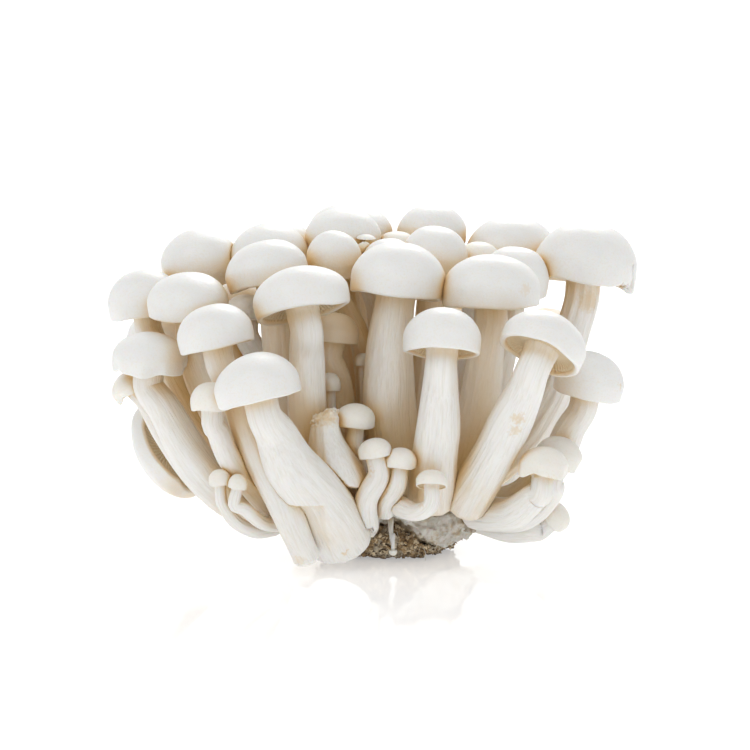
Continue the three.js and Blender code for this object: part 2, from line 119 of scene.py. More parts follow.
# The ones in front come first, and press their shape into those behind.
PLANS: tuple[Plan, ...] = (
    # The front row.
    Plan("left_front", (-39.5, -30, 51.8), (9, 9.9), (-12, 3),
         ((-19, -34.5, 4.4), (-22.4, -36.6, 12.2), (-25.8, -34.4, 20), (-30, -31.4, 29), (-35, -30.4, 41)),
         (3.1, 4.7, 3.4)),
    Plan("front_short", (-29, -46, 41.6), (9.8, 10.4), (-14, 4),
         ((-11.8, -25, 7.4), (-14.3, -30, 13.2), (-18, -35, 19.5), (-22.6, -39, 26), (-26, -42.5, 33.6)),
         (7.4, 6.6, 3.8)),
    Plan("front_centre", (11.5, -34, 50.8), (9, 10.4), (3, 15),
         ((9.5, -21, 16), (10, -26, 24), (10.8, -30.5, 33), (11.2, -32.5, 42)), (5.6, 5, 3.6)),
    Plan("front_leaning_right", (33.5, -34, 50.4), (9.9, 10), (26, 24),
         ((17.6, -21, 14.8), (21.5, -26, 22.5), (26.3, -31, 33), (30.5, -34, 42.5)), (5.2, 4.9, 3.9)),
    Plan("left_small", (-40.5, -36, 38.4), (4.8, 6.2), (-3, 0),
         ((-24, -21, 11.5), (-31, -28, 18.5), (-36.5, -33, 26.5), (-39.5, -35.3, 33.5)), (3.2, 2.9, 2.5)),
    Plan("young_front_upper", (-8.3, -22.5, 32.6), (4.9, 5.5), (2, 4),
         ((-5.5, -17, 14.6), (-6.3, -19.5, 20.6), (-7.7, -21.8, 27.4)), (2.4, 2.4, 2.1)),
    Plan("young_front_middle", (-3.4, -31, 26.8), (3.9, 4.4), (-9, 4),
         ((-5.2, -27, 10.2), (-5.6, -30.4, 17)), (2.4, 2.7, 2.3)),
    Plan("young_front_right", (2.1, -31, 24.6), (3.7, 4.4), (6, -2),
         ((-1.3, -24, 13), (-0.6, -28, 16.4)), (2.1, 2.2, 1.8)),
    Plan("young_front_low", (9.2, -36.5, 20.8), (3.7, 3.8), (3, 22),
         ((2.2, -28, 15), (5.6, -33.2, 14.4)), (2.4, 2, 1.7)),
    Plan("pin_left_outer", (-38.7, -35, 21), (2.6, 3.6), (-4, 0),
         ((-27, -22, 9), (-31.5, -28, 9.4), (-36, -32.5, 12.6), (-38.2, -34.5, 16.6)), (1.9, 1.6, 1.3)),
    Plan("pin_left_inner", (-34.8, -37, 20.5), (2.3, 3.3), (10, 0),
         ((-25.5, -25.5, 10.5), (-29.5, -32, 12), (-33.4, -36, 15.6)), (1.9, 1.6, 1.3)),
    Plan("front_stump", None, None, None,
         ((-9, -23.5, 9.5), (-10.2, -26, 15.5), (-13, -27.6, 23), (-14.7, -27.4, 30), (-15.2, -27, 35.4)),
         (6.4, 6.6, 3.1)),
    Plan("front_tall", (-20, -24, 59.2), (11.3, 10.8), (-12, 13),
         ((-12, -13.5, 12.5), (-17.3, -17.5, 24.5), (-19.4, -19.8, 38.5), (-19.5, -22, 50.5)),
         (4.4, 4.6, 3.8)),
    Plan("left_low", (-56.1, -18, 45.6), (9.2, 8.6), (3, -6),
         ((-26, -17, 9.8), (-34.5, -20, 13.2), (-42, -21, 20.4), (-48, -20.5, 28.4), (-53, -19, 37)),
         (3.4, 4.7, 3.5)),
    # The right side.
    Plan("right_young_curled", (34.8, -31, 22.4), (5.9, 6.8), (6, 6),
         ((20, -15, 11.6), (28.5, -24.5, 13), (33.6, -30, 18)), (4.2, 3.9, 2.5)),
    Plan("right_young_behind", (38.6, -19, 23), (5.8, 7), (14, 2),
         ((21, -9, 9.4), (31, -13, 10.4), (38, -18, 17.5)), (3.4, 3.5, 2.5)),
    Plan("right_lowest", (38.2, -9, 8.8), (4, 4.4), (52, -14),
         ((20.5, -4, 8), (28.5, -7.5, 6.6), (34, -8.8, 6.6)), (3.2, 3.6, 2.5)),
    Plan("right_low", (46, -12, 39), (8.5, 10.2), (12, -4),
         ((21.5, -4, 11.5), (31, -6.5, 14.2), (38.3, -9.5, 21.7), (42.6, -11.5, 31)), (3.2, 4, 3.4)),
    Plan("right_tall", (23.5, -14, 60), (11.5, 12.2), (0, 1),
         ((12.5, -7.5, 13.5), (17, -11, 23.4), (20.6, -13, 35.6), (22.5, -14, 49.6)), (4.2, 4.8, 3.8)),
    Plan("right_second", (29.5, 4, 62), (8.7, 11), (6, -3),
         ((12.5, 1, 13.5), (21, 2, 28), (26.5, 3.4, 46)), (3, 4, 3.2)),
    Plan("right_outer_tall", (47.2, 12, 63.6), (13, 14.8), (6, 4),
         ((18.5, 4, 13), (30, 6, 22.6), (39.6, 9, 36.5), (44.2, 11, 51)), (3.6, 4.9, 4.2)),
    Plan("right_button", (21.8, 15, 67.6), (5.4, 6), (0, -4),
         ((8, 5, 14), (14, 9, 34), (19.8, 13, 55)), (2.4, 2.8, 2.4)),
    Plan("right_back", (30.5, 29, 66.6), (11.6, 12.6), (0, -8),
         ((11, 10, 13), (19, 18, 28), (27, 25, 48)), (3.2, 4.2, 3.6)),
    # The middle.
    Plan("centre_tall", (1.3, -14, 62.4), (11.4, 12.6), (7, 4),
         ((1.5, -7, 13.5), (0.8, -10.6, 24), (-0.2, -13, 36.4), (0, -14, 50)), (5.4, 6.4, 4.7)),
    Plan("centre_second", (-0.4, 3.5, 67), (6.8, 8), (0, 0),
         ((0.5, 1.5, 14), (-1.5, 2, 34), (-2.2, 3, 54)), (2.6, 2.8, 2.4)),
    Plan("inner_short", (-13.5, -5, 51), (6, 6.8), (8, 0),
         ((-8, -4.5, 14), (-10.6, -4.6, 28), (-12.2, -4.8, 42)), (3, 3.2, 2.9)),
    Plan("inner_egg", (-13.5, 2.5, 68.2), (6.6, 9), (2, -28),
         ((-4, 3.5, 14), (-5, 5, 32), (-7, 5, 50)), (2.6, 2.8, 2.4)),
    Plan("inner_pin_front", (-14.3, -12, 40), (2.8, 4.2), (0, 0),
         ((-9, -9.5, 15), (-12, -11, 24), (-14, -12, 34)), (2, 1.8, 1.4)),
    Plan("inner_pin_back", (-6.6, -3.5, 45), (2.1, 3), (0, 0),
         ((-4.8, -3, 16), (-5.8, -3, 28), (-6.5, -3.4, 39)), (1.6, 1.4, 1.1)),
    Plan("centre_left", (-28.5, -6, 64.8), (9.9, 10.2), (-15, 3),
         ((-14.5, -6, 13.5), (-21, -7, 28), (-26, -7, 46)), (3.4, 4.1, 3.4)),
    Plan("centre_left_second", (-29, 12, 67.4), (9.9, 10.8), (-6, -5),
         ((-11.5, 4.5, 14), (-19, 8, 32), (-25, 11, 50)), (3.2, 4, 3.4)),
    Plan("centre_left_third", (-27, 27.5, 68.2), (8.6, 10), (6, -5),
         ((-9.5, 10.5, 13), (-17, 19, 34), (-23, 25, 54)), (3, 3.8, 3.2)),
    Plan("crown_left", (-11.5, 17, 71.4), (9.4, 10.3), (0, -8),
         ((-3.5, 9.5, 13.5), (-7.5, 13, 34), (-10.5, 16, 56)), (2.8, 3.8, 3.3)),
    Plan("crown_left_back", (-10, 35, 72.4), (10.8, 9.8), (5, -6),
         ((-2, 15, 12.5), (-4.5, 24, 32), (-7, 31, 54)), (3.2, 4, 3.5)),
    Plan("crown_button_left", (-6.4, 9.6, 70.4), (4, 5.4), (5, -6),
         ((0, 7, 14), (-2, 8.5, 36), (-3.8, 9.5, 58)), (2, 2.2, 1.9)),
    Plan("crown_right", (10.5, 7, 67), (8.4, 10.8), (5, -8),
         ((5.5, 1, 14), (7, 3, 34), (9.5, 6, 52)), (3, 3.6, 3.2)),
    Plan("crown_button_right", (1.7, 18, 70.6), (5.2, 5.4), (0, 0),
         ((3, 11, 13.5), (2.5, 14, 36), (1.8, 17, 58)), (2, 2.4, 2)),
    Plan("crown_back", (10.6, 31, 72.6), (9.1, 9.4), (0, -2),
         ((5, 14, 13), (8, 22, 34), (10, 28, 54)), (3, 3.8, 3.2)),
    # The left side.
    Plan("left_upper", (-47.3, -11, 57.8), (9.8, 9.8), (-3, -6),
         ((-18.5, -10, 12.5), (-30, -10.5, 20), (-40, -10.5, 33), (-45.5, -10.5, 46)), (3.4, 4.2, 3.5)),
    Plan("left_outer", (-58.5, 3, 56.6), (8.9, 11), (-8, -1),
         ((-22, -4.5, 11.5), (-32, -5.5, 14), (-43, -4.5, 26.5), (-52, -1, 42)), (2.8, 3.4, 3.2)),
    Plan("left_ragged_young", (-60.6, -12, 40), (4.8, 4.6), (-40, -6),
         ((-27, -10.5, 9.8), (-37, -11, 10.8), (-46, -10.5, 17.5), (-54, -10.5, 29)), (1.8, 2, 1.8)),
    Plan("left_drooping", (-51.5, 6, 25), (13.2, 8), (-122, 24),
         ((-21, 0, 9.5), (-31, 1.5, 14), (-39, 2, 25), (-45, 3.2, 29.3)), (2.8, 3.2, 2.8)),
    Plan("left_back_tall", (-46, 14.5, 66), (9.6, 10.6), (-8, -30),
         ((-17, 5.5, 12.5), (-29, 9, 26), (-39, 13, 46)), (3.2, 4, 3.4)),
    Plan("inner_left", (-34.8, 9, 55.2), (5.6, 6), (0, 0),
         ((-14, 1, 14), (-24, 4, 30), (-31.8, 7.5, 46)), (2.6, 3.2, 3)),
    # The back, which the front row hides.
    Plan("back_left_outer", (-56, 24, 47), (9, 9.6), (-16, 12),
         ((-19, 9.5, 10.5), (-33, 14, 16), (-47, 20, 32)), (3, 3.8, 3.2)),
    Plan("back_left", (-41, 37, 53), (9.6, 9.8), (-8, 14),
         ((-15, 14, 11.5), (-26, 23, 22), (-36, 32, 39)), (3.2, 4.2, 3.5)),
    Plan("back_centre_left", (-21, 46, 57), (9.8, 10), (-3, 15),
         ((-9.5, 17, 11.5), (-14, 28, 24), (-19, 39, 42)), (3.2, 4.3, 3.6)),
    Plan("back_centre", (2.5, 50, 60), (10.2, 10.6), (3, 14),
         ((0, 19.5, 11), (0.5, 31, 24), (2, 42, 43)), (3.4, 4.5, 3.7)),
    Plan("back_right", (24.5, 46, 54.5), (9.4, 9.8), (5, 14),
         ((8, 17.5, 11), (14, 28, 22), (21, 39, 39)), (3.2, 4.2, 3.5)),
    Plan("back_right_outer", (40, 31, 46), (9, 9.8), (14, 12),
         ((16, 12, 11), (25, 18.5, 18), (34.5, 26.5, 32)), (3.2, 4, 3.4)),
    Plan("back_low_left", (-30, 49, 33), (7.4, 8), (-14, 22),
         ((-15.5, 19, 9), (-21, 31, 11.5), (-27, 42, 21)), (2.6, 3.2, 2.7)),
    Plan("back_low_right", (14, 57, 34), (7.8, 8.2), (8, 24),
         ((5, 22.5, 8.5), (8.5, 36, 11), (12, 49, 21)), (2.8, 3.4, 2.8)),
    Plan("back_young_centre", (-9, 48.5, 25), (4.6, 5.2), (-4, 18),
         ((-5, 22, 8.5), (-7, 33, 9), (-8.5, 43.5, 15.5)), (2, 2.3, 2)),
    Plan("back_young_right", (35, 33, 23), (5, 5.6), (16, 14),
         ((18.5, 15, 8.5), (26, 22.5, 9.5), (32.5, 30, 15.5)), (2, 2.4, 2)),)

# A pin that never grew hangs down the plug's front. It's too small for a solid of its own.
TINY_PIN = Plan("tiny_pin", (0.6, -21.2, 3.6), (1.0, 1.3), (180, 0),
                ((0.1, -17.6, 10.4), (0.1, -19.9, 8.2), (0.4, -21.1, 5.6)), (0.7, 0.45, 0.4))

# What sets single mushrooms apart.
QUIRKS: dict[str, Quirk] = {
    "right_outer_tall": Quirk.TORN_RIM,
    "left_low": Quirk.LOBED_RIM,
    "left_drooping": Quirk.LOBED_RIM,
    "left_ragged_young": Quirk.CURLED_RIM,
    "right_young_curled": Quirk.CURLED_RIM,
    "right_young_behind": Quirk.CURLED_RIM,
    "front_short": Quirk.CUT_FOLD,
    "front_stump": Quirk.RAGGED_TOP,
}


def smoothstep(x: np.ndarray | float, low: float, high: float) -> np.ndarray | float:
    """A smooth rise from 0 at low to 1 at high."""
    t = np.clip((x - low) / (high - low), 0.0, 1.0)
    return t * t * (3 - 2 * t)


def deselect_all() -> None:
    """Clears the selection, because operators act on all that is selected."""
    bpy.ops.object.select_all(action="DESELECT")


class SpineCurve:
    """A smooth curve through the stem's points, with frames that don't twist along it."""

    SAMPLES = 160

    def __init__(self, points: list[np.ndarray]) -> None:
        """Samples the curve.

        Args:
            points: Where it passes, from foot to cap, in metres.
        """
        dense = self._through(points)
        steps = np.linalg.norm(np.diff(dense, axis=0), axis=1)
        self.length = float(steps.sum())
        along = np.concatenate([[0.0], np.cumsum(steps)]) / self.length
        u = np.linspace(0, 1, self.SAMPLES + 1)
        self.points = np.stack([np.interp(u, along, dense[:, k]) for k in range(3)], axis=1)
        tangent = np.gradient(self.points, axis=0)
        self.tangents = tangent / np.linalg.norm(tangent, axis=1)[:, None]
        self.across = self._untwisted(self.tangents)

    @staticmethod
    def _through(points: list[np.ndarray]) -> np.ndarray:
        """A centripetal Catmull-Rom curve as a dense polyline.

        Args:
            points: Where it passes.

        Returns:
            The polyline's points.
        """
        pts = [2 * points[0] - points[1], *points, 2 * points[-1] - points[-2]]
        out = []
        for p0, p1, p2, p3 in zip(pts, pts[1:], pts[2:], pts[3:]):
            gaps = [max(np.linalg.norm(b - a), 1e-6) ** 0.5 for a, b in ((p0, p1), (p1, p2), (p2, p3))]
            m1 = (p1 - p0) / gaps[0] - (p2 - p0) / (gaps[0] + gaps[1]) + (p2 - p1) / gaps[1]
            m2 = (p2 - p1) / gaps[1] - (p3 - p1) / (gaps[1] + gaps[2]) + (p3 - p2) / gaps[2]
            m1, m2 = m1 * gaps[1], m2 * gaps[1]
            t = np.linspace(0, 1, 40, endpoint=False)[:, None]
            out.append((2 * p1 - 2 * p2 + m1 + m2) * t ** 3 + (3 * p2 - 3 * p1 - 2 * m1 - m2) * t ** 2
                       + m1 * t + p1)
        return np.concatenate([*out, points[-1][None]])

    @staticmethod
    def _untwisted(tangents: np.ndarray) -> np.ndarray:
        """Directions square to the curve that turn as little as they can from one to the next.

        Args:
            tangents: The curve's directions.

        Returns:
            One direction for each tangent.
        """
        side = np.cross(tangents[0], (0.0, 1.0, 0.0))
        sides = [side / np.linalg.norm(side)]
        for tangent in tangents[1:]:
            side = sides[-1] - tangent * np.dot(sides[-1], tangent)
            sides.append(side / np.linalg.norm(side))
        return np.array(sides)

    def at(self, u: np.ndarray) -> tuple[np.ndarray, np.ndarray, np.ndarray]:
        """The curve's points, directions and sideways directions.

        Args:
            u: Places along it, from 0 to 1.

        Returns:
            The three as arrays.
        """
        grid = np.linspace(0, 1, self.SAMPLES + 1)
        take = [np.stack([np.interp(u, grid, a[:, k]) for k in range(3)], axis=1)
                for a in (self.points, self.tangents, self.across)]
        return take[0], take[1], take[2]


@dataclass
class Rows:
    """A mushroom's rings from foot to crown, each with the plane that it lies in."""

    radius: list[float] = field(default_factory=list)
    centre: list[np.ndarray] = field(default_factory=list)
    axis: list[np.ndarray] = field(default_factory=list)
    across: list[np.ndarray] = field(default_factory=list)
    along: list[float] = field(default_factory=list)
    zone: list[Zone] = field(default_factory=list)

    def add(self, radius: float, centre: np.ndarray, axis: np.ndarray, across: np.ndarray,
            along: float, zone: Zone) -> None:
        """Adds one ring after the last.

        Args:
            radius: The ring's radius.
            centre: Its centre.
            axis: The direction that its plane faces.
            across: A direction in its plane.
            along: How far it is from the foot, along the outline.
            zone: Which finish starts there.
        """
        for values, value in zip((self.radius, self.centre, self.axis, self.across, self.along, self.zone),
                                 (radius, centre, axis, across, along, zone)):
            values.append(value)


@dataclass
class Mushroom:
    """One mushroom: its plan, the flesh it becomes and what makes it unlike its neighbours."""

    plan: Plan
    seed: int
    segments: int = 72
    stem_rings: int = 46
    gill_rings: int = 12
    rim_rings: int = 12
    dome_rings: int = 26
    neck_length: float = 4.0
    foot_rings: int = 6
    flesh: bpy.types.Object | None = None
    tree: BVHTree | None = None

    def __post_init__(self) -> None:
        """Makes a small mushroom of fewer faces and seeds its own irregularities."""
        self.quirk = QUIRKS.get(self.plan.name, Quirk.NONE)
        if self.plan.kind is not Kind.GROWN:
            self.segments, self.stem_rings, self.gill_rings = 48, 34, 8
            self.rim_rings, self.dome_rings = 9, 18
        if self.quirk is not Quirk.NONE:
            self.segments, self.stem_rings, self.dome_rings = 2 * self.segments, 84, 40
        self.chance = np.random.default_rng(1000 + self.seed)

    def spine(self) -> SpineCurve:
        """The curve of the stem up to the gill face."""
        points = [np.array(p) * MM for p in self.plan.stem]
        if self.plan.cap is not None:
            axis = self.cap_axis()
            cap = np.array(self.plan.cap) * MM
            points += [cap - axis * self.neck_length * MM, cap]
        return SpineCurve(points)

    def cap_axis(self) -> np.ndarray:
        """The direction that the crown points in."""
        right, back = (math.radians(v) for v in self.plan.lean)
        vector = Vector((0, 0, 1))
        vector.rotate(Euler((-back, 0, 0)))
        vector.rotate(Euler((0, right, 0)))
        return np.array(vector)

    def stem_radius(self, u: float) -> float:
        """The stem's radius.

        Args:
            u: From 0 at the foot to 1 at the gill face.

        Returns:
            The radius in metres.
        """
        foot, middle, neck = (r * MM for r in self.plan.thick)
        if u < 0.45:
            return foot + (middle - foot) * float(smoothstep(u, 0, 0.45))
        return middle + (neck - middle) * float(smoothstep(u, 0.45, 1))

    def rows(self) -> Rows:
        """The rings of the whole mushroom, from its foot to its crown."""
        rows = Rows()
        spine = self.spine()
        foot = self.stem_radius(0.0)
        point, tangent, side = (a[0] for a in spine.at(np.array([0.0])))
        for k in range(self.foot_rings):
            turn = 0.5 * math.pi * k / self.foot_rings
            rows.add(foot * math.sin(turn), point - tangent * 0.55 * foot * math.cos(turn), tangent, side,
                     -0.55 * foot * math.cos(turn), Zone.STEM)
        count = self.stem_rings
        u = np.arange(count) / (count - 1) if self.plan.cap is None else np.arange(count) / count
        for value, point, tangent, side in zip(u, *spine.at(u)):
            rows.add(self.stem_radius(value), point, tangent, side, value * spine.length, Zone.STEM)
        if self.plan.cap is None:
            self._add_cut(rows, spine)
        else:
            self._add_cap(rows, spine)
        return rows

    def _add_cut(self, rows: Rows, spine: SpineCurve) -> None:
        """Closes a cut stem with a blunt top.

        Args:
            rows: The rings so far.
            spine: The stem's curve.
        """
        point, tangent, side = (a[0] for a in spine.at(np.array([1.0])))
        neck = self.plan.thick[2] * MM
        for k in range(1, 9):
            turn = 0.5 * math.pi * k / 8
            rows.add(neck * math.cos(turn) ** 0.6, point + tangent * 0.45 * neck * math.sin(turn), tangent,
                     side, spine.length + 0.45 * neck * math.sin(turn), Zone.STEM)
        rows.radius[-1] = 0.0

    def _add_cap(self, rows: Rows, spine: SpineCurve) -> None:
        """Adds the hollow underside, the rolled rim and the dome.

        Args:
            rows: The rings so far.
            spine: The stem's curve.
        """
        radius, height = (v * MM for v in self.plan.size)
        neck = self.plan.thick[2] * MM
        _, _, side = (a[0] for a in spine.at(np.array([1.0])))
        axis, centre = self.cap_axis(), np.array(self.plan.cap) * MM
        side = side - axis * np.dot(side, axis)
        side /= np.linalg.norm(side)
        along = spine.length

        def ring(out: float, up: float, zone: Zone) -> None:
            """Adds one ring around the cap's axis."""
            rows.add(out, centre + axis * up, axis, side, along + up, zone)

        lip = 0.095 * radius
        hollow = (0.2 if self.plan.kind is Kind.GROWN else 0.12) * height
        inner = radius - 1.9 * lip
        for k in range(self.gill_rings):
            t = (k + 0.35) / (self.gill_rings + 0.35)
            out = neck * 1.02 + (inner - neck * 1.02) * t
            up = hollow * (0.75 + 0.75 * t - 1.5 * t ** 3) + lip * 0.4 * t
            ring(out, up, Zone.GILLS)
        for k in range(self.rim_rings):
            turn = math.pi * (0.06 + 0.72 * k / self.rim_rings)
            ring(radius - lip * (1 + 0.9 * math.cos(turn)), lip * (1 - 1.25 * math.sin(turn)) + 0.02 * height,
                 Zone.GILLS if k < 2 else Zone.CAP)
        base = 0.24 * height
        start = rows.centre[-1]
        first_out, first_up = rows.radius[-1], float(np.dot(start - centre, axis))
        for k in range(1, self.dome_rings + 1):
            t = k / self.dome_rings
            turn = 0.5 * math.pi * t
            bulge = radius * math.cos(turn) ** 0.86
            rise = base + (height - base) * math.sin(turn) ** 1.08
            blend = float(smoothstep(t, 0.0, 0.16))
            ring(first_out + (bulge - first_out) * blend if k < self.dome_rings else 0.0,
                 first_up + (rise - first_up) * blend if blend < 1 else rise, Zone.CAP)

    def blank(self, rings: int) -> bpy.types.Object:
        """A round blank with a pole at the foot and one at the crown.

        Args:
            rings: How many rings it has between its poles.

        Returns:
            The new object.
        """
        deselect_all()
        bpy.ops.mesh.primitive_uv_sphere_add(segments=self.segments, ring_count=rings + 1, radius=1.0)
        blank = bpy.context.object
        blank.name = blank.data.name = self.plan.name + "_flesh"
        return blank

    def grow(self, neighbours: list["Mushroom"]) -> bpy.types.Object:
        """Shapes the flesh, and presses it against the mushrooms that are already there.

        Args:
            neighbours: The mushrooms that it gives way to.

        Returns:
            The mushroom's object.
        """
        rows = self.rows()
        rings = len(rows.radius) - 2
        self.flesh = self.blank(rings)
        mesh = self.flesh.data
        raw = np.empty(len(mesh.vertices) * 3)
        mesh.vertices.foreach_get("co", raw)
        raw = raw.reshape(-1, 3)
        polar = np.arccos(np.clip(-raw[:, 2], -1, 1))
        index = np.rint(polar / math.pi * (rings + 1)).astype(int)
        turn = np.arctan2(raw[:, 1], raw[:, 0])
        placed, straight = self._laid(rows, index, turn)
        placed = self._pressed(placed, rows, index, neighbours)
        mesh.vertices.foreach_set("co", placed.ravel())
        self._write_straight(mesh, straight)
        self._mark_zones(mesh, rows, index)
        mesh.update()
        deselect_all()
        self.flesh.select_set(True)
        bpy.context.view_layer.objects.active = self.flesh
        bpy.ops.object.mode_set(mode="EDIT")
        bpy.ops.mesh.select_all(action="SELECT")
        bpy.ops.mesh.normals_make_consistent(inside=False)
        bpy.ops.object.mode_set(mode="OBJECT")
        bpy.ops.object.shade_smooth()
        self.tree = BVHTree.FromPolygons([Vector(p) for p in placed],
                                         [tuple(p.vertices) for p in mesh.polygons])
        return self.flesh

    def _laid(self, rows: Rows, index: np.ndarray, turn: np.ndarray) -> tuple[np.ndarray, np.ndarray]:
        """Lays the blank's points on the rings.

        Args:
            rows: The rings.
            index: Which ring each point is on.
            turn: Each point's angle round its ring.

        Returns:
            The points in place, and the same points on an unbent mushroom, for the grain.
        """
        radius = np.array(rows.radius)[index]
        centre, axis = np.array(rows.centre)[index], np.array(rows.axis)[index]
        across = np.array(rows.across)[index]
        beside = np.cross(axis, across)
        along = np.array(rows.along)[index]
        zone = np.array([z.value for z in rows.zone])[index]
        swell = self._stem_swell(along, turn)
        grown = np.where(zone == Zone.STEM.value, radius * swell, radius)
        lift = np.zeros_like(radius)
        if self.plan.cap is not None:
            reach = np.clip(radius / (self.plan.size[0] * MM), 0, 1.2)
            wave = self._rim_wave(turn)
            capped = (zone != Zone.STEM.value).astype(float)
            grown = grown * (1 + capped * self._cap_swell(turn) * smoothstep(reach, 0.3, 1.0))
            lift = capped * wave * self.plan.size[0] * MM * smoothstep(reach, 0.55, 1.0)
            lift += capped * self._cap_lumps(turn, reach, zone) * self.plan.size[0] * MM
        out = np.cos(turn)[:, None] * across + np.sin(turn)[:, None] * beside
        placed = centre + out * grown[:, None] + axis * lift[:, None]
        placed = self._with_quirk(placed, out, axis, zone)
        straight = np.stack([grown * np.cos(turn), grown * np.sin(turn), along], axis=1)
        return placed, straight

    def _with_quirk(self, placed: np.ndarray, out: np.ndarray, axis: np.ndarray,
                    zone: np.ndarray) -> np.ndarray:
        """Adds what makes this mushroom stand out, such as a torn rim.

        Args:
            placed: The points.
            out: The direction away from the axis at each.
            axis: The direction along the mushroom at each.
            zone: The finish at each.

        Returns:
            The points, moved.
        """
        if self.quirk is Quirk.NONE:
            return placed
        if self.quirk is Quirk.CUT_FOLD:
            return self._cut_fold(placed, out)
        if self.quirk is Quirk.RAGGED_TOP:
            return self._ragged_top(placed)
        centre, (radius, height) = np.array(self.plan.cap) * MM, np.array(self.plan.size) * MM
        up = np.einsum("ij,ij->i", placed - centre, axis) / height
        bearing = np.arctan2(out[:, 1], out[:, 0])
        capped = zone != Zone.STEM.value
        low = capped * (1 - smoothstep(up, 0.05, 0.55))
        if self.quirk is Quirk.TORN_RIM:
            return self._torn_rim(placed, out, axis, low, bearing)
        lobes, depth = (5, 0.045) if self.quirk is Quirk.LOBED_RIM else (3, 0.1)
        wave = np.sin(lobes * bearing + 0.8) + 0.35 * np.sin((2 * lobes - 1) * bearing)
        placed = placed + axis * (low * wave * depth * radius)[:, None]
        tuck = low * np.clip(np.sin(lobes * bearing + 2.2), 0, 1) * depth * radius
        return placed - out * (1.4 * tuck)[:, None]

    def _torn_rim(self, placed: np.ndarray, out: np.ndarray, axis: np.ndarray, low: np.ndarray,
                  bearing: np.ndarray) -> np.ndarray:
        """A bite torn out of the rim on the right, with a crack that runs up from it."""
        bite = smoothstep(bearing, -1.05, -0.85) * (1 - smoothstep(bearing, -0.56, -0.48))
        teeth = 1 + 0.5 * np.sin(37 * bearing) + 0.35 * np.sin(61 * bearing + 1)
        placed = placed + axis * (low ** 2 * bite * teeth * 0.7 * MM)[:, None]
        lobe = smoothstep(bearing, -0.5, -0.4) * (1 - smoothstep(bearing, 0.1, 0.9))
        placed = placed - axis * (low * lobe * 1.5 * MM)[:, None]
        crack = np.exp(-((bearing + 0.48 - 0.05 * np.sin(9 * low)) / 0.035) ** 2) * smoothstep(low, 0.15, 0.5)
        return placed - out * (crack * 1.5 * MM)[:, None]

    def _cut_fold(self, placed: np.ndarray, out: np.ndarray) -> np.ndarray:
        """A level cut across the front of the stem, with the flesh drawn in below it."""
        x, z = placed[:, 0] / MM, placed[:, 2] / MM
        front = smoothstep(-out[:, 1], 0.2, 0.7)
        across = smoothstep(x, -25.5, -23) * (1 - smoothstep(x, -16, -14.5))
        below = smoothstep(17.0 - z, -0.25, 0.25) * (1 - smoothstep(17.0 - z, 1.5, 7.5))
        lip = np.exp(-((z - 17.5) / 0.7) ** 2)
        return placed + out * (front * across * (0.35 * lip - 1.5 * below) * MM)[:, None]

    def _ragged_top(self, placed: np.ndarray) -> np.ndarray:
        """A stem's torn end."""
        x, y, z = (placed[:, k] / MM for k in range(3))
        high = smoothstep(z, 32.5, 36)
        rough = 0.35 * np.sin(2.6 * x + 1.1 * y) + 0.3 * np.sin(4.9 * x - 3.1 * y + 1) + 0.4 * (x + 15.2)
        placed = placed.copy()
        placed[:, 2] += high * rough * 0.9 * MM
        placed[:, 0] += high * 0.35 * np.sin(3.3 * z + 2 * y) * MM
        return placed

    def _stem_swell(self, along: np.ndarray, turn: np.ndarray) -> np.ndarray:
        """Soft swellings and flutes of the stem, as factors of its radius."""
        total = np.ones_like(along)
        for _ in range(6):
            lobes = self.chance.integers(1, 4)
            pitch = self.chance.uniform(60, 300)
            phase, size = self.chance.uniform(0, TAU), self.chance.uniform(0.012, 0.036)
            total += size * np.sin(lobes * turn + phase) * np.sin(pitch * along + 2 * phase)
        for _ in range(4):
            lobes = self.chance.integers(5, 14)
            phase, size = self.chance.uniform(0, TAU), self.chance.uniform(0.004, 0.010)
            total += size * np.sin(lobes * turn + phase + self.chance.uniform(-60, 60) * along)
        return total

    def _cap_swell(self, turn: np.ndarray) -> np.ndarray:
        """How far the cap's outline is from round, as shares of its radius."""
        total = np.zeros_like(turn)
        for lobes, size in ((2, 0.025), (3, 0.014), (5, 0.006)):
            total += self.chance.uniform(0.4, 1.0) * size * np.sin(lobes * turn + self.chance.uniform(0, TAU))
        return total

    def _rim_wave(self, turn: np.ndarray) -> np.ndarray:
        """The rim's rise and fall, as shares of the cap's radius."""
        total = np.zeros_like(turn)
        for lobes, size in ((2, 0.03), (3, 0.022), (4, 0.012), (7, 0.006)):
            total += self.chance.uniform(0.3, 1.0) * size * np.sin(lobes * turn + self.chance.uniform(0, TAU))
        return total

    def _cap_lumps(self, turn: np.ndarray, reach: np.ndarray, zone: np.ndarray) -> np.ndarray:
        """Very shallow lumps of the dome, as shares of the cap's radius."""
        x, y = reach * np.cos(turn), reach * np.sin(turn)
        total = np.zeros_like(turn)
        for _ in range(5):
            angle, pitch = self.chance.uniform(0, TAU), self.chance.uniform(2, 6)
            total += 0.006 * np.sin(pitch * (x * math.cos(angle) + y * math.sin(angle)) + 3 * angle)
        return np.where(zone == Zone.CAP.value, total, 0.0)

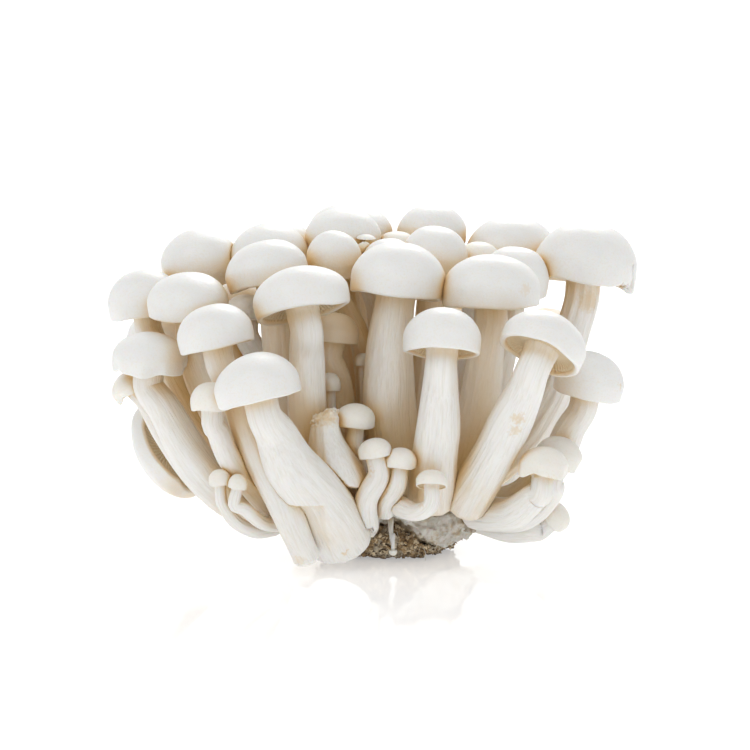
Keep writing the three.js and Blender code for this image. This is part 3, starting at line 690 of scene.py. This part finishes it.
    def _pressed(self, placed: np.ndarray, rows: Rows, index: np.ndarray,
                 neighbours: list["Mushroom"]) -> np.ndarray:
        """Draws in every point that would be inside a neighbour.

        Args:
            placed: The points.
            rows: The rings.
            index: Which ring each point is on.
            neighbours: The mushrooms to keep clear of.

        Returns:
            The points, none of them inside a neighbour.
        """
        low, high = placed.min(axis=0), placed.max(axis=0)
        centres = np.array(rows.centre)
        placed = placed.copy()
        for other in neighbours:
            box = other.corners
            if (box[0] > high).any() or (box[1] < low).any():
                continue
            inside = np.all((placed > box[0] - 0.0005) & (placed < box[1] + 0.0005), axis=1)
            for k in np.nonzero(inside)[0]:
                start = Vector(centres[index[k]])
                ray = Vector(placed[k]) - start
                length = ray.length
                if length < 1e-6:
                    continue
                hit, _, _, reach = other.tree.ray_cast(start, ray / length, length + 0.00012)
                if hit is not None:
                    placed[k] = start + ray / length * max(reach - 0.00012, 0.02 * length)
        return placed

    @property
    def corners(self) -> tuple[np.ndarray, np.ndarray]:
        """The lowest and highest corner of the grown flesh."""
        raw = np.empty(len(self.flesh.data.vertices) * 3)
        self.flesh.data.vertices.foreach_get("co", raw)
        raw = raw.reshape(-1, 3)
        return raw.min(axis=0), raw.max(axis=0)

    @staticmethod
    def _write_straight(mesh: bpy.types.Mesh, straight: np.ndarray) -> None:
        """Keeps each point's place on the unbent mushroom, which the grain follows."""
        grain = mesh.attributes.new("straight", "FLOAT_VECTOR", "POINT")
        grain.data.foreach_set("vector", straight.ravel())

    @staticmethod
    def _mark_zones(mesh: bpy.types.Mesh, rows: Rows, index: np.ndarray) -> None:
        """Gives each face the material slot of its lowest ring."""
        zones = [z.value for z in rows.zone]
        for polygon in mesh.polygons:
            polygon.material_index = zones[min(index[v] for v in polygon.vertices)]


class Graph:
    """A material's node tree, built in few words."""

    def __init__(self, name: str) -> None:
        """Starts a material whose only nodes are the shader and the output.

        Args:
            name: The material's name.
        """
        self.material = bpy.data.materials.new(name)
        self.material.use_nodes = True
        self.nodes, self.links = self.material.node_tree.nodes, self.material.node_tree.links
        self.shader = self.nodes["Principled BSDF"]

    def add(self, kind: str, **settings: object) -> bpy.types.Node:
        """Adds a node and sets its properties.

        Args:
            kind: The node's type, without the words ShaderNode.
            **settings: Its properties.

        Returns:
            The node.
        """
        node = self.nodes.new("ShaderNode" + kind)
        for key, value in settings.items():
            setattr(node, key, value)
        return node

    def feed(self, socket: bpy.types.NodeSocket, value: object) -> None:
        """Joins a socket to another node's output, or sets its number."""
        if isinstance(value, bpy.types.NodeSocket):
            self.links.new(value, socket)
        else:
            socket.default_value = value

    def object_place(self) -> bpy.types.NodeSocket:
        """The place of a surface point in the part's frame."""
        return self.add("TexCoord").outputs["Object"]

    def straight_place(self) -> bpy.types.NodeSocket:
        """The place of a surface point on the unbent mushroom."""
        return self.add("Attribute", attribute_name="straight").outputs["Vector"]

    def scaled(self, place: bpy.types.NodeSocket, scale: tuple[float, float, float]) -> bpy.types.NodeSocket:
        """A place stretched along its axes."""
        node = self.add("Mapping")
        self.feed(node.inputs["Vector"], place)
        node.inputs["Scale"].default_value = scale
        return node.outputs["Vector"]

    def noise(self, place: bpy.types.NodeSocket, scale: float, detail: float = 3.0,
              rough: float = 0.5) -> bpy.types.NodeSocket:
        """Cloudy noise from 0 to 1."""
        node = self.add("TexNoise")
        self.feed(node.inputs["Vector"], place)
        node.inputs["Scale"].default_value = scale
        node.inputs["Detail"].default_value = detail
        node.inputs["Roughness"].default_value = rough
        return node.outputs["Fac"]

    def math(self, operation: str, first: object, second: object = 0.0) -> bpy.types.NodeSocket:
        """One sum of two numbers."""
        node = self.add("Math", operation=operation)
        self.feed(node.inputs[0], first)
        self.feed(node.inputs[1], second)
        return node.outputs["Value"]

    def span(self, value: bpy.types.NodeSocket, low: float, high: float, to_low: float = 0.0,
             to_high: float = 1.0) -> bpy.types.NodeSocket:
        """A number moved smoothly from one range to another."""
        node = self.add("MapRange", interpolation_type="SMOOTHSTEP")
        self.feed(node.inputs["Value"], value)
        for key, number in (("From Min", low), ("From Max", high), ("To Min", to_low), ("To Max", to_high)):
            node.inputs[key].default_value = number
        return node.outputs["Result"]

    def mixed(self, factor: object, first: object, second: object,
              blend: str = "MIX") -> bpy.types.NodeSocket:
        """Two colours mixed."""
        node = self.add("Mix", data_type="RGBA", blend_type=blend)
        self.feed(node.inputs["Factor"], factor)
        for socket, value in ((node.inputs[6], first), (node.inputs[7], second)):
            self.feed(socket, value if isinstance(value, bpy.types.NodeSocket) else (*value, 1.0))
        return node.outputs[2]

    def painted_shade_occlusion(self, reach: float, samples: int = 6) -> bpy.types.NodeSocket:
        """How shut in a point is, from 0 in the open to 1 in a cleft, read from ambient occlusion; it is the
        mask that paints shade into clefts.
        """
        node = self.add("AmbientOcclusion", samples=samples)
        node.inputs["Distance"].default_value = reach
        return self.math("SUBTRACT", 1.0, node.outputs["AO"])

    def bump(self, height: bpy.types.NodeSocket, depth: float, strength: float = 1.0,
             under: bpy.types.NodeSocket | None = None) -> bpy.types.NodeSocket:
        """Fine relief, whose depth is in metres."""
        node = self.add("Bump")
        node.inputs["Strength"].default_value = strength
        node.inputs["Distance"].default_value = depth
        self.feed(node.inputs["Height"], height)
        if under is not None:
            self.feed(node.inputs["Normal"], under)
        return node.outputs["Normal"]


@dataclass(frozen=True)
class Stain:
    """A bruise on the flesh.

    Attributes:
        place: Its middle, in millimetres.
        radius: Its radius, in millimetres.
        depth: How strong its colour is, from 0 to 1.
    """

    place: tuple[float, float, float]
    radius: float
    depth: float


STAINS = (
    Stain((31.7, -23, 64.8), 1.8, 0.3), Stain((28.8, -36, 36.5), 1.5, 0.5),
    Stain((28.2, -36, 33.5), 1.4, 0.4),
    Stain((-5.4, -33.5, 23.9), 1.2, 0.6), Stain((7.6, -37.5, 17), 1.4, 0.45), Stain((53, -16, 41.3), 1, 0.5),
    Stain((-15, -28.5, 35.7), 2.6, 0.75), Stain((-47.8, -2, 15), 1.6, 0.8), Stain((-10, -33, 4.4), 1.1, 0.7),
    Stain((-21, -37, 4), 1.5, 0.3), Stain((48.2, 8, 59.5), 2.6, 0.5), Stain((-37.5, -27, 11.5), 1.3, 0.5),
    Stain((36, -36, 22), 1.2, 0.35), Stain((-62, -22, 42), 1.5, 0.25),
)


@dataclass(frozen=True)
class FleshFinish:
    """White mushroom flesh, with painted shade: its clefts are painted a darker warm tan, which stands in for
    the light that passes through the flesh many times there.
    """

    name: str
    zone: Zone
    open_colour: tuple[float, float, float]
    painted_shade_colour: tuple[float, float, float]
    roughness: float = 0.46
    subsurface: float = 0.22
    painted_shade_reach: float = 0.022
    painted_shade_start: float = 0.32

    def build(self) -> bpy.types.Material:
        """Makes the material."""
        graph = Graph(self.name)
        place, straight = graph.object_place(), graph.straight_place()
        # Painted shade: ambient occlusion tints the clefts towards a darker warm tan, fading out below about 2
        # cm height.
        painted_shade_mask = graph.span(graph.painted_shade_occlusion(self.painted_shade_reach), self.painted_shade_start, self.painted_shade_start + 0.42)
        height = graph.add("SeparateXYZ")
        graph.feed(height.inputs[0], place)
        painted_shade_mask = graph.math("MULTIPLY", painted_shade_mask, graph.span(height.outputs["Z"], 0.003, 0.022))
        if self.zone is Zone.CAP:
            colour, normal = self._cap(graph, place)
        elif self.zone is Zone.STEM:
            colour, normal = self._stem(graph, place, straight)
        else:
            colour, normal = self._gills(graph, straight)
        colour = graph.mixed(self._bruise(graph, place), colour, (0.70, 0.52, 0.28))
        # The painted shade is mixed into the base colour here.
        colour = graph.mixed(painted_shade_mask, colour, self.painted_shade_colour)
        shader = graph.shader
        graph.feed(shader.inputs["Base Color"], colour)
        graph.feed(shader.inputs["Normal"], normal)
        shader.inputs["Roughness"].default_value = self.roughness
        shader.inputs["Specular IOR Level"].default_value = 0.4
        shader.inputs["Sheen Weight"].default_value = 0.18
        shader.inputs["Sheen Roughness"].default_value = 0.3
        shader.inputs["Subsurface Weight"].default_value = self.subsurface
        shader.inputs["Subsurface Radius"].default_value = (1.0, 0.62, 0.36)
        shader.inputs["Subsurface Scale"].default_value = 0.0028
        return graph.material

    def _bruise(self, graph: Graph, place: bpy.types.NodeSocket) -> bpy.types.NodeSocket:
        """How bruised a point is, with ragged edges to each bruise."""
        ragged = graph.span(graph.noise(place, 1400, 4, 0.65), 0.3, 0.7, -0.0007, 0.0007)
        total: object = 0.0
        for stain in STAINS:
            away = graph.add("VectorMath", operation="DISTANCE")
            graph.feed(away.inputs[0], place)
            away.inputs[1].default_value = tuple(c * MM for c in stain.place)
            near = graph.span(graph.math("ADD", away.outputs["Value"], ragged), 0.5 * stain.radius * MM,
                              1.3 * stain.radius * MM, stain.depth, 0.0)
            total = graph.math("MAXIMUM", total, near)
        return total

    def _cap(self, graph: Graph, place: bpy.types.NodeSocket) -> tuple[bpy.types.NodeSocket, ...]:
        """Colour and relief of a cap: faint clouds, fine pores."""
        clouds = graph.span(graph.noise(place, 210, 4), 0.35, 0.7, 0.0, 0.35)
        pores = graph.span(graph.noise(place, 2100, 2, 0.6), 0.5, 0.68, 0.0, 0.42)
        colour = graph.mixed(clouds, self.open_colour, tuple(0.93 * c for c in self.open_colour))
        colour = graph.mixed(pores, colour, (0.78, 0.73, 0.62))
        normal = graph.bump(graph.noise(place, 1500, 4), 0.00012, 0.6)
        return colour, graph.bump(graph.noise(place, 330, 3), 0.00035, 0.45, normal)

    def _stem(self, graph: Graph, place: bpy.types.NodeSocket,
              straight: bpy.types.NodeSocket) -> tuple[bpy.types.NodeSocket, ...]:
        """Colour and relief of a stem: long fibres and a few tan bruises."""
        fibres = graph.noise(graph.scaled(straight, (1, 1, 0.08)), 2500, 3, 0.6)
        coarse = graph.noise(graph.scaled(straight, (1, 1, 0.1)), 620, 3, 0.5)
        bruises = graph.span(graph.noise(graph.scaled(straight, (1, 1, 0.35)), 170, 3), 0.62, 0.78, 0, 0.4)
        streak = graph.span(fibres, 0.42, 0.7, 0.0, 0.55)
        colour = graph.mixed(streak, self.open_colour, (0.75, 0.72, 0.65))
        colour = graph.mixed(graph.span(coarse, 0.5, 0.75, 0, 0.3), colour, (0.77, 0.73, 0.65))
        colour = graph.mixed(bruises, colour, (0.78, 0.66, 0.46))
        normal = graph.bump(fibres, 0.00024, 1.0)
        return colour, graph.bump(coarse, 0.0007, 0.7, normal)

    def _gills(self, graph: Graph, straight: bpy.types.NodeSocket) -> tuple[bpy.types.NodeSocket, ...]:
        """Colour and relief of the gills: fine blades that radiate from the stem, with painted shade in the
        grooves between them.
        """
        split = graph.add("SeparateXYZ")
        graph.feed(split.inputs[0], straight)
        turn = graph.math("ARCTAN2", split.outputs["Y"], split.outputs["X"])
        ripple = graph.math("SINE", graph.math("MULTIPLY", turn, 58.0))
        blades = graph.span(ripple, -1, 1)
        # Painted shade: the grooves between the blades are darker tan.
        colour = graph.mixed(graph.math("MULTIPLY", blades, 0.6), (0.71, 0.58, 0.38), self.open_colour)
        return colour, graph.bump(blades, 0.0003, 0.7)


@dataclass(frozen=True)
class FeltFinish:
    """Felted mycelium, grey-white with tan stains, and painted shade in its crevices."""

    name: str = "mycelium_felt_white"

    def build(self) -> bpy.types.Material:
        """Makes the material."""
        graph = Graph(self.name)
        place = graph.object_place()
        stains = graph.span(graph.noise(place, 300, 5, 0.65), 0.48, 0.62)
        fibres = graph.noise(graph.scaled(place, (1, 1, 2)), 1100, 6, 0.75)
        # Painted shade: ambient occlusion darkens the felt towards brown in its crevices.
        painted_shade_mask = graph.span(graph.painted_shade_occlusion(0.003), 0.2, 0.75)
        colour = graph.mixed(stains, (0.80, 0.78, 0.72), (0.66, 0.53, 0.34))
        colour = graph.mixed(graph.span(fibres, 0.35, 0.7, 0, 0.5), colour, (0.90, 0.88, 0.83))
        colour = graph.mixed(painted_shade_mask, colour, (0.50, 0.36, 0.20))
        graph.feed(graph.shader.inputs["Base Color"], colour)
        graph.feed(graph.shader.inputs["Normal"], graph.bump(fibres, 0.0007, 0.9))
        graph.shader.inputs["Roughness"].default_value = 0.85
        graph.shader.inputs["Subsurface Weight"].default_value = 0.1
        graph.shader.inputs["Subsurface Scale"].default_value = 0.002
        return graph.material


@dataclass(frozen=True)
class SawdustFinish:
    """Damp crumbly sawdust, dark brown with pale chips and threads, and painted shade in its crevices."""

    name: str = "spent_sawdust"

    def build(self) -> bpy.types.Material:
        """Makes the material."""
        graph = Graph(self.name)
        place = graph.object_place()
        chips = graph.noise(graph.scaled(place, (1, 1, 1.6)), 700, 5, 0.75)
        patches = graph.noise(place, 260, 4, 0.6)
        cells = graph.add("TexVoronoi")
        graph.feed(cells.inputs["Vector"], graph.scaled(place, (1, 1, 2.2)))
        cells.inputs["Scale"].default_value = 560
        tone = graph.add("SeparateColor")
        graph.feed(tone.inputs[0], cells.outputs["Color"])
        chip = graph.mixed(graph.span(tone.outputs[0], 0.2, 0.9), (0.44, 0.29, 0.14), (0.94, 0.78, 0.53))
        colour = graph.mixed(graph.span(chips, 0.34, 0.52), (0.17, 0.095, 0.042), chip)
        colour = graph.mixed(graph.span(patches, 0.5, 0.62, 0, 0.85), colour, (0.72, 0.64, 0.50))
        # Painted shade: ambient occlusion darkens the sawdust's crevices to near black.
        colour = graph.mixed(graph.span(graph.painted_shade_occlusion(0.0025), 0.4, 0.95), colour, (0.08, 0.042, 0.02))
        graph.feed(graph.shader.inputs["Base Color"], colour)
        graph.feed(graph.shader.inputs["Normal"], graph.bump(chips, 0.0009, 1.0))
        graph.shader.inputs["Roughness"].default_value = 0.9
        return graph.material


@dataclass
class Cluster:
    """All the mushrooms, dressed in their finishes."""

    near: float = 0.03
    mushrooms: list[Mushroom] = field(default_factory=list)

    def finishes(self) -> dict[Kind, list[bpy.types.Material]]:
        """The stem, gill and cap material of each kind of mushroom."""
        white, cream = (0.81, 0.812, 0.80), (0.83, 0.815, 0.765)
        # The second colour is the warm tan of the painted shade in clefts.
        stem, painted_cleft_shade = (0.85, 0.845, 0.825), (0.77, 0.55, 0.26)
        # Painted shade: the gills are coloured tan for the shadow under the caps, though the flesh there is
        # white.
        gills = FleshFinish("gills_tan", Zone.GILLS, (0.86, 0.78, 0.62), (0.78, 0.58, 0.32), 0.6, 0.15,
                            0.009, 0.3)
        grown = [FleshFinish("stem_white", Zone.STEM, stem, painted_cleft_shade, 0.52).build(), gills.build(),
                 FleshFinish("cap_white", Zone.CAP, white, painted_cleft_shade, 0.42).build()]
        young = [FleshFinish("young_stem", Zone.STEM, stem, painted_cleft_shade, 0.55, 0.25, 0.008, 0.3).build(), grown[1],
                 FleshFinish("young_cap", Zone.CAP, cream, painted_cleft_shade, 0.5, 0.25, 0.008, 0.3).build()]
        return {Kind.GROWN: grown, Kind.YOUNG: young, Kind.STUMP: grown}

    def build(self) -> None:
        """Grows every mushroom in turn."""
        finishes = self.finishes()
        for seed, plan in enumerate((*PLANS, TINY_PIN)):
            mushroom = Mushroom(plan, seed)
            flesh = mushroom.grow(self.mushrooms)
            for material in finishes[plan.kind]:
                flesh.data.materials.append(material)
            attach(flesh, "root")
            self.mushrooms.append(mushroom)
            if plan is not TINY_PIN:
                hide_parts(plan.name)
                self._compare(plan.name, mushroom)

    @staticmethod
    def _compare(name: str, mushroom: Mushroom) -> None:
        """Reports how far a mushroom's box is from its solid's."""
        low, high = mushroom.corners
        solid_low, solid_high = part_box(name)
        off = max(np.abs(low - np.array(solid_low)).max(), np.abs(high - np.array(solid_high)).max())
        LOG.info("%s: %d faces, box within %.1f mm of its solid", name,
                 len(mushroom.flesh.data.polygons), off / MM)


@dataclass
class Bed:
    """What the mushrooms grow from: the plug of sawdust and the felt on it."""

    voxel: float = 0.0004
    crumb_count: int = 900
    crumb_size: tuple[float, float] = (0.14, 0.5)
    crumb_seed: int = 41
    plug_threads: int = 60
    felt_threads: int = 34
    thread_seed: int = 17

    def build(self) -> None:
        """Makes the plug and the felt from their solids."""
        felt = self._roughened("mycelium_felt", 0.0030, 0.0042, FeltFinish().build())
        sawdust = SawdustFinish().build()
        plug = self._roughened("sawdust_plug", 0.0026, 0.0021, sawdust)
        self._crumbs(plug, sawdust)
        self._threads(plug, felt)

    def _crumbs(self, plug: bpy.types.Object, material: bpy.types.Material) -> None:
        """Loose chips that cling to the plug's side.

        Args:
            plug: The plug.
            material: The chips' finish.
        """
        chance = np.random.default_rng(self.crumb_seed)
        faces = [face for face in plug.data.polygons if face.normal.z < 0.8 and face.center.z > 0.0008]
        box = np.array([(x, y, z) for x in (-1, 1) for y in (-1, 1) for z in (-1, 1)], float)
        sides = ((0, 1, 3, 2), (4, 6, 7, 5), (0, 4, 5, 1), (2, 3, 7, 6), (0, 2, 6, 4), (1, 5, 7, 3))
        corners, quads = [], []
        for face in chance.choice(len(faces), self.crumb_count, replace=False):
            size = chance.uniform(*self.crumb_size) * MM * np.array(
                [chance.uniform(0.8, 2.4), 1.0, chance.uniform(0.3, 0.8)])
            turn = np.array(Euler(chance.uniform(-3, 3, 3)).to_matrix())
            chip = (box * chance.uniform(0.7, 1.2, box.shape) * size) @ turn.T
            chip += np.array(faces[face].center) + np.array(faces[face].normal) * 0.2 * MM
            chip[:, 2] -= min(chip[:, 2].min(), 0.0)
            quads += [tuple(len(corners) + k for k in side) for side in sides]
            corners += chip.tolist()
        self._kept("sawdust_crumbs", corners, quads, material, "sawdust")

    def _threads(self, plug: bpy.types.Object, felt: bpy.types.Object) -> None:
        """Thin threads of mycelium over the plug and at the felt's edge.

        Args:
            plug: The plug.
            felt: The felt.
        """
        chance = np.random.default_rng(self.thread_seed)
        corners, quads = [], []
        for body, count, reach in ((plug, self.plug_threads, 5.0), (felt, self.felt_threads, 2.6)):
            faces = [face for face in body.data.polygons if face.normal.z < 0.5 and face.center.z > 0.003]
            for face in chance.choice(len(faces), count, replace=False):
                start, away = np.array(faces[face].center), np.array(faces[face].normal)
                side = np.cross(away, (0, 0, 1)) * chance.uniform(-1, 1)
                length, thin = chance.uniform(0.4, 1.0) * reach * MM, chance.uniform(0.06, 0.15) * MM
                first = len(corners)
                for step in np.linspace(0, 1, 9):
                    lift = 0.35 * MM + 0.1 * length * math.sin(3 * step)
                    sway = 0.2 * np.cross(side, away) * math.sin(7 * step)
                    middle = start + away * lift + length * step * (
                        0.6 * side + np.array((0, 0, -0.75)) + sway)
                    middle[2] = max(middle[2], 0.2 * MM)
                    ring = TAU * np.arange(5) / 5
                    wide = thin * (1.05 - 0.75 * step)
                    for u, v in zip(np.cos(ring), np.sin(ring)):
                        corners.append((middle + wide * (u * away + v * np.cross(away, (0, 0, 1)))).tolist())
                for k in range(8):
                    quads += [(first + 5 * k + j, first + 5 * k + (j + 1) % 5, first + 5 * k + 5 + (j + 1) % 5,
                               first + 5 * k + 5 + j) for j in range(5)]
                quads += [tuple(first + 4 - j for j in range(5)), tuple(first + 40 + j for j in range(5))]
        self._kept("mycelium_threads", corners, quads, felt.data.materials[0], "mycelium")

    @staticmethod
    def _kept(name: str, corners: list[list[float]], faces: list[tuple[int, ...]],
              material: bpy.types.Material, slot: str) -> None:
        """Makes a piece of many small closed bits.

        Args:
            name: The piece's name.
            corners: Its points.
            faces: Its faces.
            material: Its finish.
            slot: Not used.
        """
        mesh = bpy.data.meshes.new(name)
        mesh.from_pydata(corners, [], faces)
        mesh.materials.append(material)
        piece = bpy.data.objects.new(name, mesh)
        bpy.context.collection.objects.link(piece)
        deselect_all()
        piece.select_set(True)
        bpy.context.view_layer.objects.active = piece
        bpy.ops.object.mode_set(mode="EDIT")
        bpy.ops.mesh.select_all(action="SELECT")
        bpy.ops.mesh.normals_make_consistent(inside=False)
        bpy.ops.object.mode_set(mode="OBJECT")
        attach(piece, "root")

    def _roughened(self, node: str, depth: float, grain: float,
                   material: bpy.types.Material) -> bpy.types.Object:
        """A copy of a solid with a crumbled surface.

        Args:
            node: The solid's name.
            depth: How deep its lumps are.
            grain: How wide they are.
            material: Its finish.

        Returns:
            The new piece.
        """
        deselect_all()
        piece = bpy.data.objects.new(node + "_lumps", bpy.data.objects[node].data.copy())
        bpy.context.collection.objects.link(piece)
        piece.select_set(True)
        bpy.context.view_layer.objects.active = piece
        bpy.ops.object.mode_set(mode="EDIT")
        bpy.ops.mesh.select_all(action="SELECT")
        bpy.ops.mesh.remove_doubles(threshold=1e-6)
        bpy.ops.object.mode_set(mode="OBJECT")
        remesh = piece.modifiers.new("even", "REMESH")
        remesh.mode, remesh.voxel_size = "VOXEL", self.voxel
        bpy.ops.object.modifier_apply(modifier="even")
        for k, (share, width) in enumerate(((1.0, 1.0), (0.6, 0.36), (0.3, 0.14))):
            texture = bpy.data.textures.new(f"{node}_{k}", "CLOUDS")
            texture.noise_scale, texture.noise_depth = grain * width, 2
            displace = piece.modifiers.new("lumps", "DISPLACE")
            displace.texture, displace.texture_coords = texture, "LOCAL"
            displace.strength, displace.mid_level = depth * share, 0.58
            bpy.ops.object.modifier_apply(modifier="lumps")
        self._flatten_foot(piece)
        piece.data.materials.clear()
        piece.data.materials.append(material)
        bpy.ops.object.shade_smooth()
        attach(piece, "root")
        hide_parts(node)
        LOG.info("%s: %d faces", piece.name, len(piece.data.polygons))
        return piece

    @staticmethod
    def _flatten_foot(piece: bpy.types.Object) -> None:
        """Keeps a piece from reaching below the face that it rests on."""
        for vertex in piece.data.vertices:
            vertex.co.z = max(vertex.co.z, 0.0)


@dataclass(frozen=True)
class Softbox:
    """A square light, with its place and size in metres and its power in watts."""

    name: str
    place: tuple[float, float, float]
    size: float
    power: float


SOFTBOXES = (Softbox("key", (-0.4, -0.45, 0.75), 0.4, 1.0), Softbox("rear", (0.1, 0.6, 0.6), 0.35, 2.8))


@dataclass(frozen=True)
class Studio:
    """A white sweep, soft light and the camera."""

    aim: tuple[float, float, float] = (-0.0036, 0.0, 0.0424)
    distance: float = 0.6
    elevation: float = 6.0
    lens: float = 120.0
    surround: float = 0.79
    camera_glow: float = 1.1

    def build(self) -> None:
        """Makes the floor, the lights and the camera."""
        self._floor()
        self._camera()
        self._lights()

    def _floor(self) -> None:
        """A wide white floor with a faint gloss."""
        deselect_all()
        bpy.ops.mesh.primitive_plane_add(size=8.0, location=(0, 2.5, -0.0002))
        floor = bpy.context.object
        floor.name = "studio_floor"
        graph = Graph("studio_white")
        graph.shader.inputs["Base Color"].default_value = (0.88, 0.88, 0.88, 1)
        graph.shader.inputs["Roughness"].default_value = 0.06
        graph.shader.inputs["Specular IOR Level"].default_value = 0.4
        graph.shader.inputs["Emission Color"].default_value = (1, 1, 1, 1)
        graph.shader.inputs["Emission Strength"].default_value = 0.38
        floor.data.materials.append(graph.material)

    def _camera(self) -> None:
        """A long lens a little above the cluster's middle."""
        camera = bpy.data.objects.new("camera", bpy.data.cameras.new("camera"))
        bpy.context.collection.objects.link(camera)
        tilt = math.radians(self.elevation)
        camera.location = Vector(self.aim) + Vector((0, -math.cos(tilt), math.sin(tilt))) * self.distance
        camera.rotation_euler = (math.pi / 2 - tilt, 0, 0)
        camera.data.lens, camera.data.sensor_width = self.lens, 36.0
        camera.data.clip_start = 0.01
        bpy.context.scene.camera = camera

    def _lights(self) -> None:
        """A white surround, a large key light from the upper left and a small one behind."""
        world = bpy.data.worlds.new("studio")
        world.use_nodes = True
        nodes, links = world.node_tree.nodes, world.node_tree.links
        glow = nodes["Background"]
        glow.inputs["Color"].default_value = (1, 1, 1, 1)
        seen, level = nodes.new("ShaderNodeLightPath"), nodes.new("ShaderNodeMapRange")
        level.inputs["To Min"].default_value = self.camera_glow
        level.inputs["To Max"].default_value = self.surround
        links.new(seen.outputs["Is Diffuse Ray"], level.inputs["Value"])
        links.new(level.outputs["Result"], glow.inputs["Strength"])
        bpy.context.scene.world = world
        bpy.context.scene.view_settings.view_transform = "Standard"
        for box in SOFTBOXES:
            light = bpy.data.objects.new(box.name, bpy.data.lights.new(box.name, "AREA"))
            bpy.context.collection.objects.link(light)
            light.data.size, light.data.energy = box.size, box.power
            light.location = box.place
            toward = Vector((0, 0, 0.045)) - Vector(box.place)
            light.rotation_euler = toward.to_track_quat("-Z", "Y").to_euler()


def main() -> None:
    """Builds the cluster, its bed and the studio."""
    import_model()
    Cluster().build()
    Bed().build()
    Studio().build()


if __name__ == "__main__":
    main()
